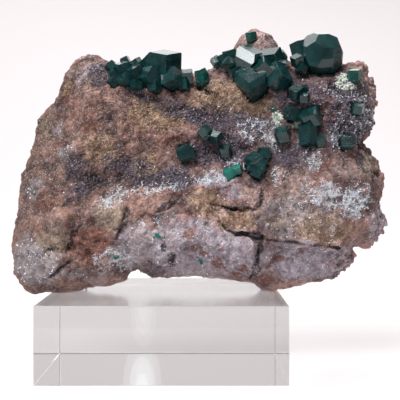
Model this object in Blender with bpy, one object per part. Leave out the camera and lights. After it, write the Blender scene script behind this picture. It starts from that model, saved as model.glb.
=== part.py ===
"""A dioptase specimen: dark green crystals on a pinkish brown stone, which rests on a clear acrylic block.

The origin is the middle of the block's underside. +X runs to the right along the stone, +Y goes into
the stone from its crystal side, and +Z is up. Shapes are worked out in millimetres and scaled once,
when the objects are made.
"""

import math
from dataclasses import dataclass

import bmesh
import bpy
import numpy as np
from mathutils import Vector, noise

MM = 0.001

# The acrylic block
BLOCK_SIDE = 80.0
BLOCK_HEIGHT = 25.0
BLOCK_EDGE = 0.5

# The clearance between pieces that touch
GAP = 0.3

# The stone: depth in front of and behind its rim, and how far in from the rim it is rounded
FRONT_DEPTH = 17.5
BACK_DEPTH = 16.5
RIM_ROUND = 13.0
BACK_ROUND = 17.0
RIM_SWAY = 2.0
GRID = 1.25
EVEN_SIZE = 1.0
STONE_TRIANGLES = 4100

# The stone's rim as (x, z), clockwise from its upper left corner
OUTLINE = [
    (-31.5, 107.6), (-27.5, 109.0), (-22.9, 107.8), (-19.3, 106.0), (-14.0, 106.3), (-9.3, 106.2),
    (-2.2, 105.4), (4.5, 104.0), (7.1, 102.6), (11.4, 102.0), (16.4, 104.2), (20.0, 105.4),
    (23.2, 109.0), (25.0, 112.3), (26.6, 115.5), (28.7, 117.3), (32.1, 118.4), (36.2, 117.0),
    (39.2, 113.8), (40.5, 110.6), (43.5, 106.6), (48.0, 104.6), (56.0, 105.4), (63.2, 106.2),
    (67.8, 106.4), (69.6, 106.9), (71.6, 104.2), (71.2, 102.0), (74.0, 99.2), (74.6, 90.5),
    (73.5, 87.6), (74.4, 84.1), (71.2, 80.5), (69.9, 77.6), (71.2, 75.0), (74.4, 72.6), (76.6, 70.6),
    (75.8, 66.7), (77.6, 63.1), (75.8, 60.4), (74.9, 56.4), (76.8, 55.2), (76.7, 52.6), (78.6, 49.4),
    (76.7, 45.8), (74.5, 43.2), (71.7, 40.4), (69.0, 42.0), (66.2, 41.0), (67.6, 37.6), (66.7, 33.8),
    (62.3, 31.6), (58.8, 28.9), (50.0, 27.2), (42.0, 25.4), (37.0, 24.8), (34.0, 25.0), (31.0, 27.6),
    (24.5, 28.9), (13.5, 29.8), (7.6, 30.1), (-0.1, 29.8), (-4.7, 30.1), (-7.9, 32.0), (-9.7, 33.3),
    (-12.4, 32.0), (-14.7, 28.4), (-19.3, 27.4), (-24.7, 26.6), (-30.0, 25.1), (-34.0, 24.7),
    (-40.7, 24.6), (-47.8, 24.0), (-50.0, 25.0), (-54.8, 30.6), (-55.2, 34.8), (-54.3, 43.1),
    (-53.0, 49.4), (-52.2, 56.7), (-52.8, 64.1), (-49.4, 70.5), (-46.7, 79.5), (-45.9, 86.8),
    (-40.5, 92.0), (-37.3, 96.6), (-36.1, 102.1), (-34.2, 104.2),
]

# From the rim inward: a steep wall, a sloping edge and the flat, as shares of the rounding and depth
EDGE_INWARD = (0.0, 0.05, 0.16, 0.50, 1.0)
EDGE_DEPTH = (0.0, 0.30, 0.52, 0.86, 1.0)

# Moves neighbouring chips far apart in the noise, so that their slopes have nothing in common
CHANCE_SPREAD = 7.13

# Without a set seed the noise vectors differ from one run to the next
NOISE_SEED = 7

# Lines across the crystal side, as x at each z or z at each x
LEFT_RIDGE_Z = (40.0, 62.0, 80.0, 103.0)
LEFT_RIDGE_X = (-36.0, -33.0, -28.0, -24.0)
SLANT_LEDGE_X = (-50.0, -41.8, -28.3, -20.0)
SLANT_LEDGE_Z = (55.0, 62.7, 77.8, 83.0)
SHELF_X = (-55.0, -35.0, -23.0, 0.0, 12.0, 24.0, 33.0, 42.0, 60.0)
SHELF_Z = (54.0, 56.0, 57.6, 63.0, 66.0, 66.5, 64.0, 57.0, 50.0)
LEDGE_X = (22.9, 28.0, 33.0, 45.8, 56.0, 63.3, 70.0)
LEDGE_Z = (46.5, 45.8, 44.8, 43.2, 42.2, 41.2, 41.8)
LEDGE_START_Z = (25.0, 29.7, 36.0, 44.2)
LEDGE_START_X = (28.4, 28.9, 30.6, 31.3)
CRUST_Z = (46.0, 55.0, 62.6, 70.0, 75.0, 81.0)
CRUST_X = (72.0, 73.0, 72.3, 69.8, 67.4, 67.0)
PLATE_LEFT_Z = (40.8, 45.9, 49.9, 57.0)
PLATE_LEFT_X = (-32.3, -29.7, -27.3, -25.0)
PLATE_RIGHT_Z = (45.2, 50.0, 55.3, 60.0)
PLATE_RIGHT_X = (-15.2, -13.4, -12.1, -10.0)
UPPER_BAND_X = (-24.0, -18.2, -11.5, 5.4, 28.9, 40.0)
UPPER_BAND_Z = (108.0, 104.8, 93.0, 87.9, 84.6, 84.0)
LOWER_BAND_X = (-40.0, -35.0, -18.2, 8.7, 28.9, 45.0)
LOWER_BAND_Z = (58.0, 61.0, 65.5, 71.5, 74.5, 76.0)

# Open cracks, as points (x, z) along each, its width and its depth
CRACKS = [
    (((23.5, 46.2), (26.5, 46.1), (30.5, 44.9), (34.0, 44.6), (39.0, 43.4), (43.5, 43.5), (49.0, 42.2),
      (55.0, 42.1), (59.5, 41.0), (64.0, 41.0)), 1.8, 7.0),
    (((31.6, 44.6), (30.9, 41.0), (31.2, 38.0), (29.9, 34.5), (29.2, 30.5)), 1.4, 6.0),
    (((14.4, 56.4), (19.2, 55.6), (22.5, 54.8), (25.6, 54.2), (31.4, 54.5)), 1.1, 3.5),
    (((65.4, 79.4), (66.9, 76.0), (68.4, 72.5), (70.4, 68.5), (71.4, 65.0), (72.8, 61.6)), 1.7, 5.0),
]

# Small open pits, as x, z and radius
PITS = [
    (12.4, 95.4, 0.9), (14.1, 94.4, 0.7), (19.4, 98.2, 0.9), (20.7, 94.6, 0.8), (2.9, 38.3, 1.5),
    (-0.5, 41.4, 1.2), (15.0, 60.3, 0.8), (-6.0, 87.0, 0.8), (-40.3, 84.0, 1.0), (62.0, 52.0, 1.2),
    (-24.0, 66.0, 1.0), (44.5, 50.5, 1.0),
]

# Dioptase: the slope of its three cap faces from the crystal's axis, and the usual proportions
CAP_SLOPE = math.radians(51.0)
USUAL_REACH = 0.72
MOST_EDGE_ANGLE = math.radians(89.0)


@dataclass(frozen=True)
class Crystal:
    """One crystal: a six-sided prism closed at both ends by three slanting faces.

    x, y and z place its middle. across is its width over two opposite prism faces, and reach the
    distance from its middle to its tip, in widths. Its axis points straight out of the stone,
    turned to the right by turn and up by tilt. roll turns it about that axis from having a cap
    face uppermost. drawn is growth that stretches it along one direction. worn cuts each edge
    between two faces by a small face, and makes it rounder the larger it is. A ball has all its
    faces about as far from its middle. Angles are in degrees.
    """

    x: float
    y: float
    z: float
    across: float
    turn: float = 0.0
    tilt: float = 0.0
    roll: float = 0.0
    reach: float = USUAL_REACH
    drawn: tuple[float, float, float] = (0.0, 0.0, 0.0)
    worn: float = 0.0
    ball: bool = False


# Crystals that have grown together are one piece, and the others are pieces of their own
CRYSTALS = {
    "west_crystal_cluster": [
        Crystal(1.0, -9.8, 104.9, 8.8, 10, 20, 0, 0.72, (-7.2, 3.0, -4.6)),
        Crystal(2.2, -13.0, 99.2, 7.6, 14, -8, 60),
        Crystal(7.2, -10.5, 99.9, 5.4, 30, 18, 24),
        Crystal(6.4, -12.5, 96.9, 4.4, 24, -22, 62),
        Crystal(-4.9, -13.0, 99.6, 7.6, -14, -6, 36),
        Crystal(-3.4, -14.4, 96.4, 5.0, 10, -26, 60),
        Crystal(-9.9, -13.0, 100.9, 6.0, -16, 8, 18),
        Crystal(-9.7, -10.5, 104.2, 4.4, -8, 36, 40),
        Crystal(-9.6, -14.2, 97.0, 4.4, -6, -24, 58),
        Crystal(-14.2, -12.0, 102.4, 5.6, -20, 16, 4),
        Crystal(-13.6, -10.0, 105.2, 3.6, 12, 50, 30),
        Crystal(-13.4, -13.6, 98.7, 5.2, -10, -18, 50),
        Crystal(-17.2, -13.6, 98.1, 4.2, -34, -14, 22),
        Crystal(-18.3, -10.5, 103.2, 4.2, -40, 14, 44),
        Crystal(-17.6, -12.6, 100.6, 3.6, -30, 4, 10),
    ],
    "upper_crystal_pair": [
        Crystal(12.8, -10.0, 99.0, 4.3, 8, 34, 4, 0.85),
        Crystal(13.2, -8.4, 101.4, 3.6, 20, 48, 34),
        Crystal(11.4, -8.6, 101.2, 2.4, -20, 40, 12),
    ],
    "knob_crystal": [Crystal(30.0, -6.8, 114.4, 3.9, -12, 26, 8)],
    "central_crystal_cluster": [
        Crystal(27.3, -13.0, 105.6, 7.0, -15.4, 110.3, 30, 0.74, (2.6, 0.0, 0.0)),
        Crystal(22.6, -10.5, 107.1, 5.0, -22, 22, 12),
        Crystal(20.3, -9.5, 105.8, 4.4, -40, 26, 30),
        Crystal(17.9, -8.4, 105.4, 3.8, -58, 24, 44),
        Crystal(22.0, -12.0, 104.2, 4.6, -24, 4, 50),
        Crystal(23.6, -14.0, 100.9, 3.2, -30, 10, 4),
        Crystal(29.9, -15.0, 97.6, 10.9, 0, 84, 165, 0.66),
        Crystal(38.2, -15.6, 99.4, 9.6, 12, 2, 74, 0.64, worn=0.05),
        Crystal(36.6, -12.5, 105.4, 8.4, 6, 14, 26, 0.7),
        Crystal(39.3, -13.6, 103.2, 5.2, 34, 8, 4),
        Crystal(40.3, -10.5, 107.0, 3.8, 10, 30, 50),
        Crystal(33.6, -16.2, 102.0, 6.6, 0, 24, 60),
    ],
    "round_crystal_cluster": [
        Crystal(54.3, -9.0, 108.0, 14.6, -24, 24, -8, worn=0.02, ball=True),
        Crystal(47.6, -6.5, 109.6, 7.4, -28, 34, 18, 0.7),
        Crystal(45.7, -11.5, 105.4, 4.8, -22, 2, 4, 0.74),
        Crystal(47.0, -12.0, 102.8, 4.2, -16, -20, 40),
    ],
    "east_crystal_cluster": [
        Crystal(49.2, -16.4, 85.4, 7.4, 8, 14, 40, 0.62, (0.8, 0.0, 0.0), 0.05),
        Crystal(42.6, -16.6, 87.0, 4.6, -16, 12, 22, 0.7, (1.6, 0.8, -0.6)),
        Crystal(48.6, -17.0, 78.6, 6.2, 4, -22, 62, 0.72, (0.0, 0.4, 2.2)),
        Crystal(52.6, -17.0, 77.4, 4.0, 26, 6, 30),
    ],
    "east_upper_crystals": [
        Crystal(44.3, -16.6, 94.2, 5.0, 2, -10, 6),
        Crystal(47.1, -17.0, 92.2, 4.0, 18, 6, 20),
        Crystal(47.6, -16.0, 95.4, 2.6, 12, 16, 40),
    ],
    "east_lower_crystal": [Crystal(39.9, -17.2, 79.6, 6.0, 16, 16, 34, 0.64, worn=0.04)],
    "rim_upper_crystal": [Crystal(64.8, -13.6, 99.9, 4.8, 10, 24, 10, 0.76)],
    "rim_middle_crystal": [Crystal(65.7, -14.6, 88.6, 4.7, 20, 8, 4, 0.72, worn=0.04)],
    "rim_lower_crystal": [Crystal(62.1, -15.8, 77.4, 5.3, 6, 22, 6, 0.76)],
    "west_face_crystal": [Crystal(7.4, -15.8, 73.6, 6.2, -52, 14, 6, 0.74)],
    "upper_face_twins": [
        Crystal(13.9, -17.4, 80.3, 4.6, -30, 38, 178),
        Crystal(17.2, -16.9, 78.8, 4.7, 6, -4, 14),
    ],
    "middle_face_crystal": [Crystal(20.7, -15.6, 74.1, 4.6, 16, 10, 24, 0.7)],
    "many_faced_cluster": [
        Crystal(30.7, -18.6, 70.4, 7.4, -8, 4, 10, 0.6, worn=0.07),
        Crystal(31.8, -18.9, 69.4, 7.2, 22, -16, 18, 0.62, worn=0.05),
        Crystal(30.2, -18.8, 68.8, 5.0, -34, -20, 52, 0.7),
        Crystal(33.7, -18.8, 73.2, 4.8, 30, 34, 8, 0.74),
        Crystal(31.2, -19.4, 67.2, 4.8, 6, -40, 24),
    ],
    "bright_face_crystals": [
        Crystal(22.0, -18.4, 66.4, 4.0, -24, 6, 12),
        Crystal(24.4, -18.2, 67.8, 3.4, 22, 14, 34, 0.78),
    ],
}


def eased(t):
    """A smooth rise from 0 to 1 while t goes from 0 to 1."""
    t = np.clip(t, 0.0, 1.0)
    return t * t * (3.0 - 2.0 * t)


def hump(distance, width):
    """1 at no distance, falling away over about the given width."""
    return np.exp(-((distance / width) ** 2))


def depth_inside(x, z):
    """Distance from each point to the rim, or 0 outside it."""
    start = np.array(OUTLINE)
    end = np.roll(start, -1, axis=0)
    run = end - start
    dx = x[:, None] - start[None, :, 0]
    dz = z[:, None] - start[None, :, 1]
    along = (dx * run[:, 0] + dz * run[:, 1]) / (run**2).sum(axis=1)
    along = np.clip(along, 0.0, 1.0)
    distance = np.hypot(dx - along * run[:, 0], dz - along * run[:, 1]).min(axis=1)
    spans = (start[None, :, 1] > z[:, None]) != (end[None, :, 1] > z[:, None])
    rise = np.where(run[:, 1] == 0.0, 1.0, run[:, 1])
    meets = x[:, None] < start[:, 0] + dz * run[:, 0] / rise
    inside = (spans & meets).sum(axis=1) % 2 == 1
    return np.where(inside, distance, 0.0)


def rim_profile(depth, radius):
    """How much of the full depth is reached at a distance from the rim: a wall, a slope, a flat."""
    return np.interp(depth / radius, EDGE_INWARD, EDGE_DEPTH)


def rubble(x, z, seed, size, octaves=3):
    """Seeded noise between about -1 and 1, with lumps of the given size."""
    layer = 31.7 * seed
    return np.array([
        noise.fractal(Vector((px / size, layer, pz / size)), 0.8, 2.1, octaves)
        for px, pz in zip(x, z)
    ])


def chips(x, z, seed, size, offset, slope):
    """Seeded flat break faces about one size across, each with its own offset and slope."""
    layer = 17.3 * seed
    noise.seed_set(NOISE_SEED)
    heights = []
    for px, pz in zip(x, z):
        place = Vector((px / size, layer, pz / size))
        middle = noise.voronoi(place)[1][0]
        chance = noise.noise_vector(middle * CHANCE_SPREAD)
        away = (place - middle) * size
        heights.append(offset * chance.x + slope * (chance.y * away.x + chance.z * away.z))
    return np.array(heights)


def front_steps(x, z):
    """Ledges, plates and valleys of the crystal side, as mm added towards the viewer."""
    steps = np.zeros_like(x)
    ridge = np.interp(z, LEFT_RIDGE_Z, LEFT_RIDGE_X)
    steps -= 0.74 * np.maximum(ridge - x, 0.0)
    slant = z - np.interp(x, SLANT_LEDGE_X, SLANT_LEDGE_Z)
    steps += 2.4 * eased(-slant / 2.5) * eased((-18.0 - x) / 8.0) * eased((z - 44.0) / 12.0)
    below_shelf = np.interp(x, SHELF_X, SHELF_Z) - z
    steps += 3.6 * eased(below_shelf / 4.5) * eased((40.0 - x) / 10.0)
    steps -= 0.10 * np.maximum(z - 66.0, 0.0)
    steps -= 0.13 * np.maximum(40.0 - z, 0.0)
    past_start = x - np.interp(z, LEDGE_START_Z, LEDGE_START_X)
    below_ledge = np.interp(x, LEDGE_X, LEDGE_Z) - z
    steps -= 6.5 * eased(below_ledge / 1.8) * eased((past_start + 0.9) / 1.8)
    steps -= 6.0 * eased((x - np.interp(z, CRUST_Z, CRUST_X)) / 2.0) * eased((82.0 - z) / 3.0)
    in_plate = eased((x - np.interp(z, PLATE_LEFT_Z, PLATE_LEFT_X)) / 1.5)
    in_plate *= eased((np.interp(z, PLATE_RIGHT_Z, PLATE_RIGHT_X) - x) / 1.5)
    in_plate *= eased((57.0 - z) / 2.0) * eased((z - 44.0) / 3.0)
    steps += 2.0 * in_plate
    steps -= 1.6 * hump(z - np.interp(x, UPPER_BAND_X, UPPER_BAND_Z), 4.5) * eased((42.0 - x) / 8.0)
    steps -= 1.8 * hump(z - np.interp(x, LOWER_BAND_X, LOWER_BAND_Z), 5.0) * eased((42.0 - x) / 8.0)
    steps += 2.6 * hump(np.hypot((x - 53.0) / 1.25, z - 60.0), 13.0)
    steps += 3.0 * hump(np.hypot(x + 43.0, (z - 36.0) / 0.9), 8.0)
    steps += 1.5 * hump(np.hypot((x - 25.0) / 1.7, z - 58.6), 4.8)
    steps += 1.4 * hump(np.hypot((x - 46.0) / 1.3, z - 96.0), 9.0)
    for px, pz, radius in PITS:
        steps -= 1.5 * radius * hump(np.hypot(x - px, z - pz), radius)
    return steps


def front_depth(x, z):
    """How far the crystal side stands in front of the rim's plane."""
    depth = depth_inside(x, z)
    plateau = FRONT_DEPTH + front_steps(x, z)
    plateau += 0.9 * rubble(x, z, 1, 15.0) + 0.5 * rubble(x, z, 3, 4.0)
    plateau += chips(x, z, 2, 13.0, 1.6, 0.3) + chips(x, z, 8, 5.5, 0.7, 0.35)
    thin_knob = 1.0 - 0.35 * eased((z - 104.0) / 8.0) * eased((x - 20.0) / 4.0) * eased((46.0 - x) / 4.0)
    return np.maximum(plateau, 2.5) * rim_profile(depth, RIM_ROUND) * thin_knob


def back_depth(x, z):
    """How far the broken back stands behind the rim's plane: three large faces, lumpy."""
    depth = depth_inside(x, z)
    faces = np.minimum(BACK_DEPTH + 0.16 * (x + 18.0), BACK_DEPTH - 0.14 * (x - 22.0))
    faces = np.minimum(faces, BACK_DEPTH + 1.5 - 0.12 * np.abs(z - 58.0))
    faces += 1.2 * rubble(x, z, 4, 17.0) + 0.5 * rubble(x, z, 6, 4.5)
    faces += chips(x, z, 5, 19.0, 2.4, 0.35) + chips(x, z, 9, 7.5, 0.9, 0.4)
    thin_knob = 1.0 - 0.35 * eased((z - 104.0) / 8.0)
    return np.maximum(faces, 2.5) * rim_profile(depth, BACK_ROUND) * thin_knob


def rim_sway(x, z):
    """How far the rim wanders in front of and behind its plane."""
    return RIM_SWAY * rubble(x, z, 7, 30.0, 1)


def face_y(x, z):
    """The y of the stone's crystal side at one point."""
    px = np.array([x])
    pz = np.array([z])
    return float((rim_sway(px, pz) - front_depth(px, pz))[0])


def face_directions(crystal):
    """Outward directions of the crystal's faces, with its axis: six prism faces and three cap faces."""
    turn = math.radians(crystal.turn)
    tilt = math.radians(crystal.tilt)
    flat = math.cos(tilt)
    axis = Vector((math.sin(turn) * flat, -math.cos(turn) * flat, math.sin(tilt)))
    upward = (Vector((0.0, 0.0, 1.0)) - axis * axis.z).normalized()
    sideways = axis.cross(upward)
    prism = []
    cap = []
    for side in range(6):
        angle = math.radians(crystal.roll + 30.0 + 60.0 * side)
        prism.append(upward * math.cos(angle) + sideways * math.sin(angle))
    for face in range(3):
        angle = math.radians(crystal.roll + 120.0 * face)
        outward = upward * math.cos(angle) + sideways * math.sin(angle)
        cap.append(axis * math.cos(CAP_SLOPE) + outward * math.sin(CAP_SLOPE))
    return prism, cap


def crystal_planes(crystal, grow):
    """The crystal's faces as (direction, distance from its middle), moved out by grow."""
    prism, cap = face_directions(crystal)
    side = crystal.across / 2.0
    top = crystal.reach * crystal.across * math.cos(CAP_SLOPE)
    unevenness = (1.0, 0.94, 1.05, 0.97, 1.03, 0.95)
    planes = [(way, side * uneven) for way, uneven in zip(prism, unevenness)]
    if crystal.ball:
        top = side
    planes += [(way, top) for way in cap]
    planes += [(-way, top) for way in cap]
    if crystal.ball:
        planes += [(way, side * (1.0 - crystal.worn)) for way, _ in edge_planes(planes, 0.0)]
    elif crystal.worn:
        planes += edge_planes(planes, crystal.worn)
    drawn = Vector(crystal.drawn)
    return [(way, distance + max(way.dot(drawn), 0.0) + grow) for way, distance in planes]


def edge_planes(planes, worn):
    """Small faces that cut the edges between neighbouring faces, set in by worn."""
    cuts = []
    for index, (way, distance) in enumerate(planes):
        for other_way, other_distance in planes[index + 1:]:
            if way.angle(other_way) < MOST_EDGE_ANGLE:
                across = (way + other_way).normalized()
                edge = (distance + other_distance) / (way + other_way).length
                cuts.append((across, edge * (1.0 - worn)))
    return cuts


def add_crystal(crystal, grow):
    """The crystal as a temporary object, its faces moved out by grow."""
    middle = Vector((crystal.x, crystal.y, crystal.z))
    shape = bmesh.new()
    bmesh.ops.create_cube(shape, size=6.0 * crystal.across + 20.0)
    for way, distance in crystal_planes(crystal, grow):
        geometry = shape.verts[:] + shape.edges[:] + shape.faces[:]
        cut = bmesh.ops.bisect_plane(
            shape, geom=geometry, plane_co=way * distance, plane_no=way, clear_outer=True)
        edges = [item for item in cut["geom_cut"] if isinstance(item, bmesh.types.BMEdge)]
        if edges:
            bmesh.ops.contextual_create(shape, geom=edges)
    bmesh.ops.translate(shape, verts=shape.verts, vec=middle)
    bmesh.ops.recalc_face_normals(shape, faces=shape.faces)
    return new_object("crystal", shape)


def new_object(name, shape):
    """An object made from a bmesh, which is freed."""
    mesh = bpy.data.meshes.new(name)
    shape.to_mesh(mesh)
    shape.free()
    obj = bpy.data.objects.new(name, mesh)
    bpy.context.scene.collection.objects.link(obj)
    return obj


def bake(obj):
    """Replace the object's mesh by what its modifiers make of it."""
    depsgraph = bpy.context.evaluated_depsgraph_get()
    mesh = bpy.data.meshes.new_from_object(obj.evaluated_get(depsgraph))
    obj.modifiers.clear()
    obj.data = mesh


def combine(obj, others, operation):
    """Apply one Boolean after another to the object, and remove the other bodies."""
    for other in others:
        modifier = obj.modifiers.new(operation.title(), "BOOLEAN")
        modifier.operation = operation
        modifier.solver = "EXACT"
        modifier.object = other
    bake(obj)
    for other in others:
        bpy.data.objects.remove(other)


def keep_largest_body(obj):
    """Drop the crumbs that a cut leaves beside the main body."""
    shape = bmesh.new()
    shape.from_mesh(obj.data)
    unseen = set(shape.verts)
    bodies = []
    while unseen:
        front = [unseen.pop()]
        body = list(front)
        while front:
            for edge in front.pop().link_edges:
                for vert in edge.verts:
                    if vert in unseen:
                        unseen.remove(vert)
                        body.append(vert)
                        front.append(vert)
        bodies.append(body)
    bodies.sort(key=len, reverse=True)
    crumbs = [vert for body in bodies[1:] for vert in body]
    bmesh.ops.delete(shape, geom=crumbs, context="VERTS")
    shape.to_mesh(obj.data)
    shape.free()


def merge_flat_faces(obj):
    """Join the triangles of each flat face, so that crystal faces are single faces."""
    shape = bmesh.new()
    shape.from_mesh(obj.data)
    bmesh.ops.remove_doubles(shape, verts=shape.verts, dist=0.002)
    bmesh.ops.dissolve_limit(
        shape, angle_limit=math.radians(0.5), verts=shape.verts, edges=shape.edges)
    bmesh.ops.triangulate(shape, faces=shape.faces)
    bmesh.ops.dissolve_degenerate(shape, edges=shape.edges, dist=0.002)
    shape.to_mesh(obj.data)
    shape.free()


def add_cluster(name, crystals, grow=0.0):
    """Crystals grown together, as one body."""
    bodies = [add_crystal(crystal, grow) for crystal in crystals]
    cluster = bodies[0]
    cluster.name = name
    if len(bodies) > 1:
        combine(cluster, bodies[1:], "UNION")
    merge_flat_faces(cluster)
    return cluster


def flat_stone_sheet():
    """A flat sheet inside the rim, cut into a fine grid."""
    sheet = bmesh.new()
    rim = [sheet.verts.new((x, 0.0, z)) for x, z in OUTLINE]
    sheet.faces.new(rim)
    bmesh.ops.triangulate(sheet, faces=sheet.faces, ngon_method="EAR_CLIP")
    xs = [x for x, _ in OUTLINE]
    zs = [z for _, z in OUTLINE]
    cuts = [((x, 0.0, 0.0), (1.0, 0.0, 0.0)) for x in np.arange(min(xs) + GRID, max(xs), GRID)]
    cuts += [((0.0, 0.0, z), (0.0, 0.0, 1.0)) for z in np.arange(min(zs) + GRID, max(zs), GRID)]
    for place, way in cuts:
        geometry = sheet.verts[:] + sheet.edges[:] + sheet.faces[:]
        bmesh.ops.bisect_plane(sheet, geom=geometry, dist=0.02, plane_co=place, plane_no=way)
    return sheet


def curve_sheet(sheet, verts, depth_of, side):
    """Move the sheet's points out of its plane to the stone's front or back."""
    x = np.array([vert.co.x for vert in verts])
    z = np.array([vert.co.z for vert in verts])
    depth = depth_of(x, z)
    depth[[vert.is_boundary for vert in verts]] = 0.0
    y = rim_sway(x, z) + side * depth
    for vert, vert_y in zip(verts, y):
        vert.co.y = vert_y


def add_stone_body():
    """The stone without cracks and sockets, from a front and a back sheet that meet at the rim."""
    sheet = flat_stone_sheet()
    front = sheet.verts[:]
    copy = bmesh.ops.duplicate(sheet, geom=sheet.verts[:] + sheet.edges[:] + sheet.faces[:])
    back = [item for item in copy["geom"] if isinstance(item, bmesh.types.BMVert)]
    rim = [vert for vert in front + back if vert.is_boundary]
    curve_sheet(sheet, front, front_depth, -1.0)
    curve_sheet(sheet, back, back_depth, 1.0)
    bmesh.ops.remove_doubles(sheet, verts=rim, dist=0.001)
    bmesh.ops.triangulate(sheet, faces=sheet.faces)
    bmesh.ops.recalc_face_normals(sheet, faces=sheet.faces)
    stone = new_object("matrix", sheet)
    even = stone.modifiers.new("Even", "REMESH")
    even.mode = "VOXEL"
    even.voxel_size = EVEN_SIZE
    bake(stone)
    triangles = sum(len(face.vertices) - 2 for face in stone.data.polygons)
    thin = stone.modifiers.new("Thin", "DECIMATE")
    thin.ratio = STONE_TRIANGLES / triangles
    bake(stone)
    return stone


def add_crack(points, width, depth):
    """A wedge that follows a crack: open at the stone's face, sharp at its bottom."""
    shape = bmesh.new()
    rings = []
    last = len(points) - 1
    for index, (x, z) in enumerate(points):
        before = points[max(index - 1, 0)]
        after = points[min(index + 1, last)]
        across = Vector((-(after[1] - before[1]), 0.0, after[0] - before[0])).normalized()
        open_width = width * (0.25 if index in (0, last) else 1.0)
        shut_depth = depth * (0.4 if index in (0, last) else 1.0)
        y = face_y(x, z)
        mouth = Vector((x, y - 1.5, z))
        half = across * open_width * (0.5 + 0.75 / shut_depth)
        corners = (mouth - half, mouth + half, Vector((x, y + shut_depth, z)))
        rings.append([shape.verts.new(corner) for corner in corners])
    for ring, following in zip(rings, rings[1:]):
        for side in range(3):
            after = (side + 1) % 3
            shape.faces.new((ring[side], ring[after], following[after], following[side]))
    shape.faces.new(rings[0])
    shape.faces.new(rings[-1])
    bmesh.ops.triangulate(shape, faces=shape.faces)
    bmesh.ops.recalc_face_normals(shape, faces=shape.faces)
    return new_object("crack", shape)


def add_box(name, width, depth, height, grow=0.0):
    """A box standing on the origin, its faces moved out by grow."""
    shape = bmesh.new()
    bmesh.ops.create_cube(shape, size=1.0)
    bmesh.ops.scale(
        shape, verts=shape.verts, vec=(width + 2.0 * grow, depth + 2.0 * grow, height + 2.0 * grow))
    bmesh.ops.translate(shape, verts=shape.verts, vec=(0.0, 0.0, height / 2.0))
    return new_object(name, shape)


def add_matrix():
    """The stone: cracked, with a socket for each crystal and its feet worn flat on the block."""
    stone = add_stone_body()
    cutters = [add_crack(*crack) for crack in CRACKS]
    cutters += [add_cluster("socket", crystals, GAP) for crystals in CRYSTALS.values()]
    cutters.append(add_box("foot_cut", BLOCK_SIDE, BLOCK_SIDE, BLOCK_HEIGHT, GAP))
    combine(stone, cutters, "DIFFERENCE")
    merge_flat_faces(stone)
    keep_largest_body(stone)
    return stone


def add_display_block():
    """The clear block, its edges slightly bevelled."""
    block = add_box("display_block", BLOCK_SIDE, BLOCK_SIDE, BLOCK_HEIGHT)
    bevel = block.modifiers.new("Edges", "BEVEL")
    bevel.width = BLOCK_EDGE
    bevel.segments = 2
    bake(block)
    return block


def material(name, colour, roughness, transmission=0.0):
    """A Principled material."""
    made = bpy.data.materials.new(name)
    made.use_nodes = True
    shader = made.node_tree.nodes["Principled BSDF"]
    shader.inputs["Base Color"].default_value = (*colour, 1.0)
    shader.inputs["Roughness"].default_value = roughness
    shader.inputs["Metallic"].default_value = 0.0
    shader.inputs["Transmission Weight"].default_value = transmission
    return made


def finish(obj, made, smooth=False):
    """Give the object its material and its real size."""
    for vert in obj.data.vertices:
        vert.co *= MM
    obj.data.materials.clear()
    obj.data.materials.append(made)
    if smooth:
        obj.data.shade_smooth()
    else:
        obj.data.shade_flat()
    obj.data.update()


def main():
    for obj in list(bpy.data.objects):
        bpy.data.objects.remove(obj)
    rock = material("pinkish brown stone", (0.27, 0.16, 0.14), 0.8)
    green = material("dioptase", (0.01, 0.09, 0.07), 0.1, 0.3)
    acrylic = material("clear acrylic", (0.85, 0.86, 0.86), 0.05, 0.9)
    stone = add_matrix()
    clusters = [add_cluster(name, crystals) for name, crystals in CRYSTALS.items()]
    block = add_display_block()
    finish(stone, rock)
    finish(block, acrylic)
    for cluster in clusters:
        finish(cluster, green)


main()
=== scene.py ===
"""The dressed dioptase specimen: dark green crystals on a rough stone, on a clear acrylic block."""

import logging
import math
from contextlib import contextmanager
from dataclasses import dataclass, field
from enum import Enum
from typing import Iterable, Iterator, Sequence

import bmesh
import bpy
import numpy as np
from bpy.types import ID, Material, Mesh, Node, NodeSocket, NodeTree, Object
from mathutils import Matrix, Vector, noise


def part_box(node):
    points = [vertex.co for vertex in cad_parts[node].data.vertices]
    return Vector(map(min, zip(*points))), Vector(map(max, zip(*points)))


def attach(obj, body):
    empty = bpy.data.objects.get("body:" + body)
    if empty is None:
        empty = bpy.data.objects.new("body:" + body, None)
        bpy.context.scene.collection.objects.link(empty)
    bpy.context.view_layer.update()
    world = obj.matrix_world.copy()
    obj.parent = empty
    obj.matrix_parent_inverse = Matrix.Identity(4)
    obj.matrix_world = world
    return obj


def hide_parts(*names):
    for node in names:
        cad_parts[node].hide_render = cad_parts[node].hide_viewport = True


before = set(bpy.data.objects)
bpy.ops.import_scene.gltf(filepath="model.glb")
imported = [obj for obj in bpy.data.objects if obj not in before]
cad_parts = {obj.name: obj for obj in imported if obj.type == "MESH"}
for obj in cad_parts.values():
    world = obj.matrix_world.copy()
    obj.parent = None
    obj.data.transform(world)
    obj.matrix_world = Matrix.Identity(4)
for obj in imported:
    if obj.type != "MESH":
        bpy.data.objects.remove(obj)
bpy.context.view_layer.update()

LOG = logging.getLogger("dioptase")
MM = 0.001
NOISE_SEED = 7
WELD = 2e-6

Colour = tuple[float, float, float]
Place = tuple[float, float, float]
Line = tuple[tuple[float, float], ...]
Feed = float | Sequence[float] | NodeSocket
Items = bpy.types.bpy_prop_collection


class Slot(Enum):
    """The record's material slots."""

    ACRYLIC = "clear_acrylic"
    STONE = "matrix_stone"
    DIOPTASE = "dioptase"


class Zone(Enum):
    """Kinds of mineral seen on the stone, each with its own point attribute; the dark one also holds
    painted shade along the grooves.
    """

    TAN = "tan"
    OCHRE = "ochre"
    OLIVE = "olive"
    PURPLE = "purple"
    PALE = "pale"
    PINK = "pink"
    RUST = "rust"
    WHITE = "white"
    CRUST = "crust"
    # Dark patches, and painted shade along the grooves.
    DARK = "dark"
    TEAL = "teal"


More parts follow.
